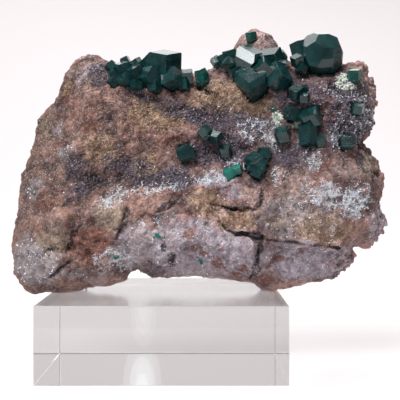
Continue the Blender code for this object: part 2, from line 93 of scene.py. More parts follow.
@dataclass(frozen=True)
class Patch:
    """An oval patch of one mineral on the crystal side, in mm, its turn in degrees."""

    x: float
    z: float
    half_x: float
    half_z: float
    strength: float
    turn: float = 0.0

    def at(self, places: np.ndarray) -> np.ndarray:
        """How strongly the patch shows at each point.

        Args:
            places: Points in mm, one to a row.

        Returns:
            A number from 0 to the patch's strength for each point.
        """
        turn = math.radians(self.turn)
        dx = places[:, 0] - self.x
        dz = places[:, 2] - self.z
        along = (dx * math.cos(turn) + dz * math.sin(turn)) / self.half_x
        across = (dz * math.cos(turn) - dx * math.sin(turn)) / self.half_z
        return self.strength * eased((1.45 - np.hypot(along, across)) / 0.9)


@dataclass(frozen=True)
class Groove:
    """A thin line sunk into the crystal side and darkened with painted shade, through (x, z) points in mm.
    """

    points: Line
    width: float
    depth: float

    def at(self, places: np.ndarray, spread: float = 1.0) -> np.ndarray:
        """A number for each place in mm, 1 on the line and falling off over its spread width."""
        away = distance_to_line(places[:, 0], places[:, 2], self.points)
        return np.exp(-((away / (spread * self.width)) ** 2))


# Rows of a middle x and z and a half width and height in mm, a strength, and a turn in degrees if any
PATCHES = {
    Zone.TAN: (
        (-7.4, 86.9, 4.7, 6.7, 1.0), (-1.4, 85.9, 7.4, 5.4, 0.9, -15), (-21.6, 74.5, 5.7, 4.7, 0.8),
        (21.1, 93.0, 11.0, 5.9, 1.0, -5), (11.1, 93.7, 3.1, 4.1, 0.6), (31.6, 89.3, 4.7, 2.4, 0.8, 10),
        (13.8, 57.6, 5.7, 5.1, 0.9), (20.5, 52.6, 11.4, 4.7, 0.5, -8), (-6.8, 69.4, 4.0, 4.0, 0.8),
        (39.0, 52.6, 7.4, 8.1, 0.3), (53.2, 48.2, 11.4, 5.7, 0.7, -5), (57.6, 54.3, 2.7, 3.4, 0.5),
    ),
    Zone.OCHRE: (
        (-33.8, 96.5, 2.1, 2.1, 0.9), (25.6, 51.2, 6.1, 3.0, 0.6, -10),
    ),
    Zone.OLIVE: (
        (-42.8, 83.0, 1.8, 4.9, 0.8, 10), (-37.2, 44.4, 6.6, 5.2, 0.7), (-17.9, 51.9, 5.7, 4.0, 0.8),
        (69.8, 68.6, 3.1, 4.5, 1.0, -20), (13.1, 95.8, 2.1, 1.0, 0.6, -10), (44.0, 53.0, 12.0, 8.0, 0.5),
    ),
    Zone.PURPLE: (
        (-22.7, 100.3, 3.4, 5.5, 0.8), (-12.1, 68.8, 8.8, 4.0, 0.8, -10), (-30.3, 68.4, 4.4, 4.0, 0.7),
        (-7.6, 93.4, 6.2, 2.1, 0.8, -25), (2.0, 88.6, 5.4, 3.0, 1.0, -30),
        (13.8, 84.9, 8.8, 2.4, 0.9, -8), (28.3, 83.2, 8.1, 2.7, 0.8, 5), (19.5, 74.5, 10.1, 6.7, 0.75),
        (0.3, 65.0, 11.4, 3.4, 1.0, 3), (-29.0, 61.0, 5.4, 3.4, 0.7), (-3.1, 34.7, 5.1, 3.7, 0.5),
        (41.7, 72.8, 8.1, 4.0, 0.7), (59.0, 94.4, 5.2, 3.1, 0.8), (62.0, 88.0, 9.0, 12.0, 0.95),
        (56.0, 81.0, 8.0, 8.0, 0.6), (46.0, 92.0, 9.0, 8.0, 0.7), (16.0, 87.0, 12.0, 2.6, 0.7, -8),
    ),
    Zone.PALE: (
        (-28.6, 101.3, 3.1, 3.4, 0.6, -20), (-26.5, 105.8, 4.1, 1.7, 0.35, -10),
        (-37.2, 82.0, 2.4, 3.1, 0.6), (-34.0, 74.8, 3.0, 2.4, 0.6, -20), (18.2, 64.0, 6.7, 1.7, 0.7),
        (23.2, 60.0, 4.7, 2.4, 0.5, -20), (-45.3, 61.6, 5.9, 2.8, 0.7, 35), (-44.6, 35.7, 9.4, 8.0, 0.9),
        (-10.1, 42.5, 6.1, 8.8, 0.7), (-26.6, 31.7, 10.1, 3.0, 0.5, -5),
        (12.1, 40.8, 20.9, 11.4, 0.85, -5), (40.0, 52.6, 7.4, 7.0, 0.9),
        (48.5, 37.4, 16.8, 6.7, 0.85, -3), (35.6, 112.0, 3.1, 2.8, 0.4), (73.7, 48.7, 4.2, 7.7, 0.5),
        (52.0, 50.5, 10.0, 5.0, 0.8, -5),
    ),
    Zone.PINK: (
        (20.5, 52.6, 11.0, 5.2, 1.0, -8), (29.6, 58.0, 4.4, 3.7, 0.9, 30), (60.9, 69.4, 5.4, 4.0, 0.6),
        (70.9, 95.9, 2.8, 5.6, 0.7), (45.8, 62.7, 6.7, 4.7, 0.5), (32.5, 113.0, 6.2, 4.1, 0.9),
        (8.7, 103.0, 2.1, 1.7, 0.9),
    ),
    Zone.RUST: (
        (-33.4, 93.0, 3.1, 3.1, 0.6), (-30.0, 86.6, 6.7, 2.7, 0.55), (-24.9, 83.2, 2.0, 2.4, 0.8),
        (1.3, 78.2, 9.4, 3.0, 0.6, -8), (-40.7, 56.5, 4.8, 2.8, 0.7, 10),
        (-24.3, 43.2, 6.4, 5.7, 0.9, 20), (8.7, 47.5, 1.5, 1.3, 1.0), (10.4, 42.2, 1.3, 1.2, 1.0),
        (13.4, 39.5, 1.7, 1.0, 0.8, -20), (18.2, 36.1, 2.0, 2.4, 0.9, -30), (26.6, 34.4, 1.7, 1.2, 1.0),
        (24.2, 31.7, 2.7, 1.2, 0.9, -25), (8.7, 38.8, 1.0, 1.0, 0.8), (16.8, 48.9, 1.7, 0.7, 0.7, 10),
        (19.5, 41.5, 1.3, 0.8, 0.6, -10), (53.5, 69.1, 2.0, 2.0, 0.9), (38.4, 36.8, 4.4, 2.0, 0.8, 15),
        (47.5, 39.5, 2.4, 1.3, 0.7), (35.0, 29.4, 3.4, 2.0, 0.9), (57.6, 36.8, 6.7, 3.0, 0.35, 10),
        (55.2, 87.3, 4.7, 5.1, 0.7), (33.5, 110.3, 3.4, 1.4, 0.5),
    ),
    Zone.WHITE: (
        (31.0, 80.9, 4.7, 4.4, 0.8, 20), (22.2, 71.1, 4.0, 2.4, 0.7, -20), (3.3, 63.0, 4.0, 2.0, 0.6, 15),
        (-4.7, 61.3, 5.4, 2.0, 0.6), (15.5, 65.4, 6.4, 1.9, 1.0, 4), (-17.5, 58.0, 6.4, 2.7, 0.8, 18),
        (-16.9, 37.8, 6.4, 4.0, 0.8), (-1.4, 51.6, 1.3, 1.0, 0.8), (4.7, 47.2, 1.7, 1.0, 0.8),
        (-7.8, 49.6, 1.3, 1.3, 0.7), (-0.4, 40.8, 1.7, 1.3, 0.8), (39.0, 65.7, 3.4, 3.0, 0.6, 10),
        (49.8, 71.1, 3.0, 3.0, 0.7), (54.2, 58.6, 5.1, 4.7, 1.0, -10), (64.5, 57.5, 4.8, 5.2, 1.0),
        (47.8, 61.0, 3.0, 3.4, 0.6), (56.2, 46.9, 2.4, 1.7, 0.8), (45.8, 54.9, 2.7, 2.7, 0.5),
        (69.8, 85.8, 3.8, 4.2, 0.7), (36.0, 79.5, 3.4, 5.1, 0.9), (57.9, 78.5, 2.4, 2.7, 0.8),
        (58.0, 93.7, 4.1, 2.4, 0.6, -20), (66.0, 91.0, 3.0, 6.0, 0.5), (64.0, 81.0, 6.0, 4.0, 0.55),
        (59.5, 82.5, 2.0, 3.5, 0.6),
    ),
    Zone.CRUST: (
        (62.0, 97.8, 3.6, 1.9, 1.0, -25), (38.4, 85.6, 1.9, 1.7, 1.0, -20),
        (45.1, 83.2, 1.3, 2.7, 1.0, 30),
    ),
    # Dark patches; the grooves add painted shade to this zone as well.
    Zone.DARK: (
        (-20.2, 85.2, 3.0, 1.2, 0.8, 8), (3.3, 87.9, 2.0, 1.3, 0.9, -20),
        (-22.9, 64.0, 4.7, 2.7, 1.0, -10), (-13.2, 63.4, 6.1, 2.0, 0.6, -5),
        (-43.5, 53.6, 1.8, 1.0, 0.7, 20), (67.0, 71.0, 1.2, 4.9, 0.9, 15),
        (71.6, 63.7, 1.0, 4.2, 0.6, 30), (13.5, 95.8, 2.1, 0.8, 1.0, 10),
    ),
    Zone.TEAL: (
        (12.6, 36.7, 0.8, 0.8, 1.0), (-1.9, 44.5, 2.2, 0.5, 1.0, -10), (-16.9, 38.1, 0.5, 0.5, 1.0),
        (36.5, 88.8, 0.7, 0.7, 0.8),
    ),
}

GROOVES = (
    Groove(((-27.3, 49.9), (-29.7, 45.9), (-32.3, 40.8)), 0.55, 0.9),
    Groove(((-12.1, 55.3), (-13.4, 50.0), (-15.2, 45.2)), 0.55, 0.9),
    Groove(((-40.1, 41.5), (-35.4, 40.5)), 0.45, 0.6),
    Groove(((-31.7, 36.8), (-35.0, 34.4), (-39.1, 31.4)), 0.6, 0.8),
    Groove(((4.7, 57.6), (1.6, 55.0), (-2.0, 53.6)), 0.5, 0.7),
    Groove(((14.8, 56.3), (19.2, 55.6), (25.6, 54.3), (31.0, 54.4)), 0.5, 0.8),
    Groove(((33.0, 61.0), (32.8, 57.0), (31.0, 54.6)), 0.45, 0.7),
    Groove(((18.2, 50.6), (21.0, 48.0), (23.9, 46.3), (32.0, 46.6)), 0.5, 0.7),
    Groove(((11.8, 96.2), (13.6, 95.6), (15.5, 94.0)), 0.7, 1.2),
    Groove(((3.0, 39.4), (3.0, 37.6)), 0.8, 1.2),
    Groove(((-0.4, 42.6), (-0.5, 41.6)), 0.7, 1.0),
    Groove(((32.8, 45.5), (32.6, 42.0), (31.6, 37.5), (31.4, 34.0), (29.6, 30.4)), 0.5, 1.6),
)


def linear(red: int, green: int, blue: int) -> Colour:
    """A colour given as seen on a screen, 0 to 255, in the light's own scale, 0 to 1."""
    shares = (channel / 255.0 for channel in (red, green, blue))
    return tuple(s / 12.92 if s <= 0.04045 else ((s + 0.055) / 1.055) ** 2.4 for s in shares)


def new_object(name: str, data: ID) -> Object:
    """Put a new object in the scene.

    Args:
        name: The object's name.
        data: Its mesh, light or camera.

    Returns:
        The object.
    """
    item = bpy.data.objects.new(name, data)
    bpy.context.scene.collection.objects.link(item)
    return item


def only(piece: Object) -> None:
    """Select one piece alone and make it the active one.

    Args:
        piece: The piece to work on.
    """
    bpy.ops.object.select_all(action="DESELECT")
    bpy.context.view_layer.objects.active = piece
    piece.select_set(True)


@contextmanager
def all_in_edit(piece: Object) -> Iterator[None]:
    """Hold a piece in edit mode with all of it selected.

    Args:
        piece: The piece to work on.
    """
    only(piece)
    bpy.ops.object.mode_set(mode="EDIT")
    bpy.ops.mesh.select_all(action="SELECT")
    yield
    bpy.ops.object.mode_set(mode="OBJECT")


def apply_modifier(piece: Object, kind: str, **settings: object) -> None:
    """Add a modifier with its settings and apply it.

    Args:
        piece: The piece to shape.
        kind: The modifier's type.
        **settings: Its properties.
    """
    only(piece)
    modifier = piece.modifiers.new(kind.title(), kind)
    for name, value in settings.items():
        setattr(modifier, name, value)
    bpy.ops.object.modifier_apply(modifier=modifier.name)


def copy_of_node(node: str, name: str) -> Object:
    """A new piece with a CAD node's shape, its loose triangles merged.

    Args:
        node: The CAD node's name.
        name: The new piece's name.

    Returns:
        The piece.
    """
    piece = new_object(name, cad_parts[node].data.copy())
    piece.data.materials.clear()
    with all_in_edit(piece):
        bpy.ops.mesh.remove_doubles(threshold=WELD)
    return piece


def hand_over(piece: Object, slot: Slot, *nodes: str) -> None:
    """Let a finished piece ride on the frame, for the nodes it stands for.

    Args:
        piece: The finished piece.
        slot: Not used.
        *nodes: The CAD nodes that it replaces.
    """
    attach(piece, "root")
    if nodes:
        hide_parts(*nodes)
    triangles = sum(len(face.vertices) - 2 for face in piece.data.polygons)
    LOG.info("%s: %d triangles", piece.name, triangles)


def vectors(items: Items, name: str) -> np.ndarray:
    """Read one vector property of many items.

    Args:
        items: The items of a mesh.
        name: The property.

    Returns:
        An array with a row for each item.
    """
    flat = np.zeros(len(items) * 3, np.float32)
    items.foreach_get(name, flat)
    return flat.reshape(-1, 3).astype(float)


def vertex_places(mesh: Mesh) -> np.ndarray:
    """Every vertex of a mesh in mm, one to a row."""
    return vectors(mesh.vertices, "co") / MM


def vertex_normals(mesh: Mesh) -> np.ndarray:
    """Every vertex normal of a mesh, one to a row."""
    return vectors(mesh.vertex_normals, "vector")


def move_vertices(mesh: Mesh, places: np.ndarray) -> None:
    """Move every vertex of a mesh to a new place in mm."""
    mesh.vertices.foreach_set("co", (places * MM).astype(np.float32).ravel())
    mesh.update()


def eased(share: np.ndarray) -> np.ndarray:
    """A smooth rise from 0 to 1 while the share goes from 0 to 1."""
    share = np.clip(share, 0.0, 1.0)
    return share * share * (3.0 - 2.0 * share)


def wander(places: np.ndarray, size: float, layer: float) -> np.ndarray:
    """Smooth seeded noise vectors.

    Args:
        places: Points in mm, one to a row.
        size: The noise's feature size in mm.
        layer: A shift that picks one pattern.

    Returns:
        A vector between about -1 and 1 for each point.
    """
    noise.seed_set(NOISE_SEED)
    shift = Vector((layer, 2.7 * layer, 5.1 * layer))
    return np.array([noise.noise_vector(Vector(place) / size + shift) for place in places])


def distance_to_line(x: np.ndarray, z: np.ndarray, points: Line) -> np.ndarray:
    """Distance from points of the crystal side to a line of straight stretches.

    Args:
        x: The points' x in mm.
        z: The points' z in mm.
        points: The line's corners.

    Returns:
        The distances in mm.
    """
    nearest = np.full(len(x), np.inf)
    for (ax, az), (bx, bz) in zip(points, points[1:]):
        run_x = bx - ax
        run_z = bz - az
        along = ((x - ax) * run_x + (z - az) * run_z) / (run_x**2 + run_z**2)
        along = np.clip(along, 0.0, 1.0)
        nearest = np.minimum(nearest, np.hypot(x - ax - along * run_x, z - az - along * run_z))
    return nearest


@dataclass
class Wiring:
    """Adds and joins the nodes of one node tree."""

    tree: NodeTree

    def add(self, kind: str, feeds: dict | None = None, **settings: object) -> Node:
        """Add a node.

        Args:
            kind: The node's type without its usual prefix.
            feeds: Values or sockets for its inputs, by name or number.
            **settings: The node's own properties.

        Returns:
            The node.
        """
        node = self.tree.nodes.new("ShaderNode" + kind)
        for name, value in settings.items():
            setattr(node, name, value)
        for key, value in (feeds or {}).items():
            self.feed(node.inputs[key], value)
        return node

    def feed(self, socket: NodeSocket, value: Feed) -> None:
        """Link a socket to another, or set its value.

        Args:
            socket: The input to feed.
            value: Another node's output, a number or a colour.
        """
        if isinstance(value, NodeSocket):
            self.tree.links.new(value, socket)
        elif socket.type == "RGBA" and len(value) == 3:
            socket.default_value = (*value, 1.0)
        else:
            socket.default_value = value

    def mix(self, share: Feed, first: Feed, second: Feed, blend: str = "MIX") -> NodeSocket:
        """Blend two colours.

        Args:
            share: How much of the second colour shows.
            first: The colour underneath.
            second: The colour over it.
            blend: How they blend.

        Returns:
            The blended colour.
        """
        node = self.add("Mix", data_type="RGBA", blend_type=blend)
        self.feed(node.inputs[0], share)
        self.feed(node.inputs[6], first)
        self.feed(node.inputs[7], second)
        return node.outputs[2]

    def sum(self, kind: str, first: Feed, second: Feed = 0.0, third: Feed = 0.0) -> NodeSocket:
        """Work out one number from up to three by a Math node's operation."""
        return self.add("Math", {0: first, 1: second, 2: third}, operation=kind).outputs[0]

    def times(self, first: Feed, second: Feed, plus: Feed = 0.0) -> NodeSocket:
        """Multiply two numbers and add a third."""
        return self.sum("MULTIPLY_ADD", first, second, plus)

    def between(
        self, value: Feed, low: float, high: float, start: float = 0.0, end: float = 1.0
    ) -> NodeSocket:
        """A number that eases from start to end while the value goes from low to high."""
        feeds = {"Value": value, "From Min": low, "From Max": high, "To Min": start, "To Max": end}
        return self.add("MapRange", feeds, interpolation_type="SMOOTHSTEP").outputs["Result"]

    def noise(self, place: Feed, size: float, detail: float = 3.0, rough: float = 0.55) -> NodeSocket:
        """Soft noise around one half, its size in mm, with finer layers of some strength."""
        feeds = {"Vector": place, "Scale": 1.0 / size, "Detail": detail, "Roughness": rough}
        return self.add("TexNoise", feeds).outputs["Fac"]

    def attribute(self, name: str) -> NodeSocket:
        """A point attribute of the piece, as a number."""
        return self.add("Attribute", attribute_name=name, attribute_type="GEOMETRY").outputs["Fac"]


@dataclass(frozen=True)
class SharedGroup:
    """A shader effect that several materials share, its coordinates in mm."""

    name: str
    inputs: tuple[str, ...]
    outputs: tuple[str, ...]

    def place(self, wiring: Wiring, *feeds: Feed) -> Node:
        """Put the effect in a material, its inputs fed in their order."""
        group = bpy.data.node_groups.get(self.name) or self._new()
        return wiring.add("Group", dict(enumerate(feeds)), node_tree=group)

    def _new(self) -> NodeTree:
        """Make the group on its first use.

        Returns:
            The group, wired up inside.
        """
        group = bpy.data.node_groups.new(self.name, "ShaderNodeTree")
        for title in self.inputs:
            kind = "NodeSocketVector" if title == "Place" else "NodeSocketFloat"
            group.interface.new_socket(title, in_out="INPUT", socket_type=kind)
        for title in self.outputs:
            group.interface.new_socket(title, in_out="OUTPUT", socket_type="NodeSocketFloat")
        given = group.nodes.new("NodeGroupInput").outputs
        result = group.nodes.new("NodeGroupOutput").inputs
        self._wire(Wiring(group), given, result)
        return group

    def _wire(self, wiring: Wiring, given: Items, result: Items) -> None:
        """Wire the inside, which each effect does in its own way."""
        raise NotImplementedError


@dataclass(frozen=True)
class GrainGroup(SharedGroup):
    """Packed mineral grains, each with its own tone and height."""

    name: str = "mineral_grain"
    inputs: tuple[str, ...] = ("Place", "Size")
    outputs: tuple[str, ...] = ("Tone", "Glint", "Height")

    def _wire(self, wiring: Wiring, given: Items, result: Items) -> None:
        """Wire the grains.

        Args:
            wiring: The group's wiring.
            given: The group's inputs.
            result: The group's outputs.
        """
        scale = wiring.sum("DIVIDE", 1.0, given["Size"])
        cells = wiring.add("TexVoronoi", {"Vector": given["Place"], "Scale": scale})
        parts = wiring.add("SeparateColor", {0: cells.outputs["Color"]})
        wiring.feed(result["Tone"], parts.outputs[0])
        wiring.feed(result["Glint"], wiring.between(parts.outputs[1], 0.86, 0.94))
        dome = wiring.sum("SUBTRACT", 1.0, cells.outputs["Distance"])
        wiring.feed(result["Height"], wiring.times(parts.outputs[2], 0.5, plus=dome))


@dataclass(frozen=True)
class WearGroup(SharedGroup):
    """Faint scratches and specks of dust on polished faces."""

    name: str = "fine_wear"
    inputs: tuple[str, ...] = ("Place",)
    outputs: tuple[str, ...] = ("Scratches", "Specks", "Haze")

    def _wire(self, wiring: Wiring, given: Items, result: Items) -> None:
        """Wire the wear.

        Args:
            wiring: The group's wiring.
            given: The group's inputs.
            result: The group's outputs.
        """
        place = given["Place"]
        turned = wiring.add(
            "Mapping", {"Vector": place, "Rotation": (0.4, 0.7, 0.5), "Scale": (0.06, 2.4, 1.1)})
        streaks = wiring.noise(turned.outputs[0], 1.0, 1.0)
        wiring.feed(result["Scratches"], wiring.between(streaks, 0.68, 0.74))
        specks = wiring.add("TexVoronoi", {"Vector": place, "Scale": 0.45})
        wiring.feed(result["Specks"], wiring.between(specks.outputs["Distance"], 0.05, 0.09, 1.0, 0.0))
        wiring.feed(result["Haze"], wiring.noise(place, 9.0))


GRAIN = GrainGroup()
WEAR = WearGroup()


@dataclass
class Surface:
    """A new material: its wiring, its shader and object coordinates in mm."""

    name: str
    material: Material = field(init=False)
    wiring: Wiring = field(init=False)
    shader: Node = field(init=False)
    place: NodeSocket = field(init=False)

    def __post_init__(self) -> None:
        """Make the material and its coordinates."""
        self.material = bpy.data.materials.new(self.name)
        self.material.use_nodes = True
        self.wiring = Wiring(self.material.node_tree)
        self.shader = self.material.node_tree.nodes["Principled BSDF"]
        coordinates = self.wiring.add("TexCoord").outputs["Object"]
        scaled = self.wiring.add("Mapping", {"Vector": coordinates, "Scale": (1.0 / MM,) * 3})
        self.place = scaled.outputs[0]

    def set(self, **values: Feed) -> None:
        """Feed the shader's sockets, by their names with _ for spaces."""
        for name, value in values.items():
            self.wiring.feed(self.shader.inputs[name.replace("_", " ")], value)

    def bump(self, height: Feed, depth: float, strength: float = 1.0) -> None:
        """Let a height drive the shader's normal, a height of 1 standing for a depth in mm."""
        node = self.wiring.add("Bump", {"Strength": strength, "Distance": depth * MM, "Height": height})
        self.set(Normal=node.outputs[0])

    def absorb(self, colour: Colour, density: float) -> None:
        """Let the inside soak up light.

        Args:
            colour: The colour that passes.
            density: How fast the rest is lost, for each metre.
        """
        volume = self.wiring.add("VolumeAbsorption", {"Color": colour, "Density": density})
        output = self.material.node_tree.nodes["Material Output"]
        self.wiring.feed(output.inputs["Volume"], volume.outputs[0])


@dataclass(frozen=True)
class StoneFinish:
    """Pinkish brown matrix with patches of other minerals, rough and grainy.

    Each mineral has its zone, its colour and the most of it that shows. The colour also holds painted
    shade in hollows, grooves, tiny dark spots and on the left side, and painted light on knobs and
    glinting grains.
    """

    pink_brown: Colour = linear(153, 118, 108)
    deep_brown: Colour = linear(100, 75, 72)
    pale: Colour = linear(163, 153, 161)
    # The colour of the painted highlights of glinting grains.
    painted_glint_colour: Colour = linear(214, 204, 200)
    tan_deep: Colour = linear(106, 82, 68)
    purple_deep: Colour = linear(74, 66, 79)
    minerals: tuple[tuple[Zone, Colour, float], ...] = (
        (Zone.PALE, pale, 0.85), (Zone.PINK, linear(174, 144, 137), 0.7),
        (Zone.OLIVE, linear(150, 135, 121), 0.7), (Zone.TAN, linear(172, 141, 117), 0.85),
        (Zone.OCHRE, linear(174, 138, 102), 0.6), (Zone.PURPLE, linear(97, 79, 83), 0.92),
        (Zone.RUST, linear(122, 80, 71), 0.88), (Zone.WHITE, linear(200, 206, 216), 0.34),
        # The dark colour also serves as painted shade along the grooves.
        (Zone.CRUST, linear(186, 192, 182), 0.9), (Zone.DARK, linear(58, 50, 50), 0.85),
    )
    # Painted shade: the stone's left side is darkened, most at the left edge.
    left_side: tuple[float, float] = (-56.0, -12.0)
    left_shade: float = 0.6
    foot: tuple[float, float] = (46.0, 72.0)
    foot_tone: float = 1.32
    foot_calm: float = 0.62
    right_red: float = 0.96
    left_blue: float = 0.95
    right_blue: float = 1.045

    def material(self) -> Material:
        """The stone's material.

        Returns:
            The material, which reads the zone attributes.
        """
        surface = Surface("stone")
        wiring = surface.wiring
        coarse = GRAIN.place(wiring, surface.place, 1.1)
        fine = GRAIN.place(wiring, surface.place, 0.5)
        broad = wiring.noise(surface.place, 9.0, 4.0, 0.6)
        medium = wiring.noise(surface.place, 2.2, 4.0, 0.65)
        colour = wiring.mix(wiring.between(broad, 0.38, 0.62), self.pink_brown, self.deep_brown)
        colour = wiring.mix(wiring.between(medium, 0.52, 0.72, 0.0, 0.6), colour, self.pale)
        colour = self._zones(surface, colour, medium, fine)
        shades = self._shades(surface, coarse, fine)
        colour = wiring.mix(1.0, colour, shades, "MULTIPLY")
        # Painted highlights: pale specks of glinting grains painted into the colour.
        painted_glints = GRAIN.place(wiring, surface.place, 0.38).outputs["Glint"]
        colour = wiring.mix(wiring.between(painted_glints, 0.0, 1.0, 0.0, 0.32), colour, self.painted_glint_colour)
        surface.set(Base_Color=colour, Specular_IOR_Level=0.35)
        sparkle = wiring.sum("ADD", wiring.attribute("purple"), wiring.attribute("white"))
        sparkle = wiring.times(wiring.between(sparkle, 0.2, 0.6), fine.outputs["Glint"])
        surface.set(Roughness=wiring.between(sparkle, 0.0, 1.0, 0.82, 0.18))
        height = wiring.times(fine.outputs["Height"], 0.35, plus=medium)
        height = wiring.times(coarse.outputs["Height"], 0.4, plus=height)
        surface.bump(height, 0.65, 1.0)
        return surface.material

    def _shades(self, surface: Surface, coarse: Node, fine: Node) -> Feed:
        """Light and dark from the grains, painted pit shade, painted shade in hollows and painted light on
        knobs, and from side to side of the stone, its left side darkened as painted shade.

        Args:
            surface: The material being made.
            coarse: The coarse grain.
            fine: The fine grain.

        Returns:
            A colour to multiply the stone's own by.
        """
        wiring = surface.wiring
        tone = wiring.times(fine.outputs["Tone"], 0.6, plus=0.7)
        # Painted shade: dark spots that stand for the shade in tiny hollows of the stone.
        pit_shade = wiring.noise(surface.place, 1.3, 3.0, 0.8)
        blotches = wiring.noise(surface.place, 3.4, 3.0, 0.6)
        for factor in (
            wiring.between(coarse.outputs["Tone"], 0.0, 1.0, 0.84, 1.14),
            wiring.between(pit_shade, 0.33, 0.41, 0.45, 1.0),
            wiring.between(blotches, 0.36, 0.64, 0.8, 1.2),
        ):
            tone = wiring.times(tone, factor)
        x, _, z = wiring.add("SeparateXYZ", {0: surface.place}).outputs
        calm = wiring.between(z, *self.foot, self.foot_calm, 1.0)
        tone = wiring.times(wiring.sum("SUBTRACT", tone, 1.0), calm, plus=1.0)
        frayed = wiring.sum("SUBTRACT", wiring.noise(surface.place, 0.9, 3.0, 0.7), 0.5)
        relief_light_and_shade = wiring.times(frayed, 0.35, plus=wiring.attribute("relief"))
        for factor in (
            # Painted shade in the hollows and painted light on the knobs.
            wiring.between(relief_light_and_shade, -0.5, 0.4, 0.5, 1.2),
            # Painted shade on the left side.
            wiring.between(x, *self.left_side, self.left_shade, 1.0),
            wiring.between(z, *self.foot, self.foot_tone, 1.0),
        ):
            tone = wiring.times(tone, factor)
        red = wiring.times(tone, wiring.between(x, 0.0, 40.0, 1.0, self.right_red))
        blue = wiring.times(tone, wiring.between(x, -50.0, 40.0, self.left_blue, self.right_blue))
        return wiring.add("CombineColor", {0: red, 1: tone, 2: blue}).outputs[0]

    def _zones(self, surface: Surface, colour: Feed, medium: Feed, fine: Node) -> Feed:
        """Lay the patches of other minerals over the stone's own colour.

        Args:
            surface: The material being made.
            colour: The colour so far.
            medium: Noise that frays the patches' edges.
            fine: The fine grain.

        Returns:
            The colour with its patches.
        """
        wiring = surface.wiring
        frayed = wiring.sum("SUBTRACT", medium, 0.5)
        broad_fray = wiring.sum("SUBTRACT", wiring.noise(surface.place, 5.0, 5.0, 0.75), 0.5)
        small = wiring.sum("SUBTRACT", wiring.noise(surface.place, 0.8, 2.0, 0.7), 0.5)
        for zone, mineral, most in self.minerals:
            share = wiring.sum("ADD", frayed, wiring.attribute(zone.value))
            share = wiring.times(broad_fray, 1.6, plus=share)
            low, high = 0.1, 0.85
            if zone is Zone.WHITE:
                share = wiring.times(small, 3.0, plus=share)
                low, high = 0.6, 0.95
            if zone is Zone.TAN:
                mineral = wiring.mix(wiring.between(small, 0.0, 0.18), mineral, self.tan_deep)
            if zone is Zone.PURPLE:
                mineral = wiring.mix(fine.outputs["Tone"], mineral, self.purple_deep)
            colour = wiring.mix(wiring.between(share, low, high, 0.0, most), colour, mineral)
        return colour


@dataclass(frozen=True)
class DioptaseFinish:
    """Dark green see-through crystal with glassy faces and faint growth marks."""

    name: str = "dioptase_green"
    green: Colour = (0.018, 0.108, 0.11)
    veil: Colour = (0.009, 0.053, 0.055)
    transmission: float = 0.6
    inside: Colour = (0.05, 0.58, 0.53)
    density: float = 500.0
    roughness: float = 0.1

    def material(self) -> Material:
        """The crystals' material.

        Returns:
            The material.
        """
        surface = Surface(self.name)
        wiring = surface.wiring
        wear = WEAR.place(wiring, surface.place)
        cloud = wiring.noise(surface.place, 3.0, 4.0, 0.6)
        surface.set(
            Base_Color=wiring.mix(wiring.between(cloud, 0.35, 0.65), self.green, self.veil),
            Roughness=wiring.between(wear.outputs["Haze"], 0.3, 0.7, self.roughness, 2.4 * self.roughness),
            IOR=1.66,
            Specular_IOR_Level=0.22,
            Transmission_Weight=self.transmission,
        )
        stretched = wiring.add("Mapping", {"Vector": surface.place, "Scale": (0.5, 0.5, 1.6)})
        growth = wiring.noise(stretched.outputs[0], 1.1, 2.0)
        height = wiring.times(wear.outputs["Scratches"], 0.2, plus=growth)
        surface.bump(height, 0.12, 0.38)
        surface.absorb(self.inside, self.density)
        return surface.material


DARK_GREEN = DioptaseFinish()
TEAL = DioptaseFinish(
    "dioptase_teal", (0.02, 0.2, 0.17), (0.01, 0.1, 0.085), 0.65, (0.08, 0.75, 0.62), 350.0)
VIVID = DioptaseFinish(
    "dioptase_vivid", (0.01, 0.34, 0.27), (0.008, 0.2, 0.165), 0.4, (0.1, 0.9, 0.75), 200.0)


@dataclass(frozen=True)
class AcrylicFinish:
    """Clear polished acrylic with a trace of dust and scratches."""

    tint: Colour = (0.97, 0.975, 0.975)
    dusty_above: float = 24.7
    inside: Colour = (0.5, 0.48, 0.47)
    density: float = 11.5

    def material(self) -> Material:
        """The block's material.

        Returns:
            The material.
        """
        surface = Surface("clear_acrylic")
        wiring = surface.wiring
        wear = WEAR.place(wiring, surface.place)
        marks = wiring.sum("MAXIMUM", wear.outputs["Scratches"], wear.outputs["Specks"])
        axes = wiring.add("SeparateXYZ", {0: surface.place})
        dusty = wiring.between(axes.outputs["Z"], self.dusty_above, self.dusty_above + 0.2)
        marks = wiring.sum("MAXIMUM", wiring.times(marks, 0.3), dusty)
        surface.set(
            Base_Color=wiring.mix(wear.outputs["Haze"], (1.0, 1.0, 1.0), self.tint),
            Roughness=wiring.between(marks, 0.0, 1.0, 0.015, 0.2),
            IOR=1.49,
            Transmission_Weight=1.0,
        )
        surface.bump(wear.outputs["Haze"], 0.02, 0.3)
        surface.absorb(self.inside, self.density)
        return surface.material


@dataclass(frozen=True)
class MineralFinish:
    """One mineral in small crystals or grains, its tone changing from grain to grain."""

    name: str
    light: Colour
    deep: Colour
    roughness: float
    grain: float
    transmission: float = 0.0

    def material(self) -> Material:
        """The mineral's material.

        Returns:
            The material.
        """
        surface = Surface(self.name)
        wiring = surface.wiring
        grain = GRAIN.place(wiring, surface.place, self.grain)
        fine = wiring.noise(surface.place, 0.3)
        roughest = min(0.95, 1.7 * self.roughness)
        surface.set(
            Base_Color=wiring.mix(grain.outputs["Tone"], self.light, self.deep),
            Roughness=wiring.between(grain.outputs["Tone"], 0.0, 1.0, self.roughness, roughest),
            Transmission_Weight=self.transmission,
        )
        surface.bump(fine, 0.06, 0.5)
        return surface.material


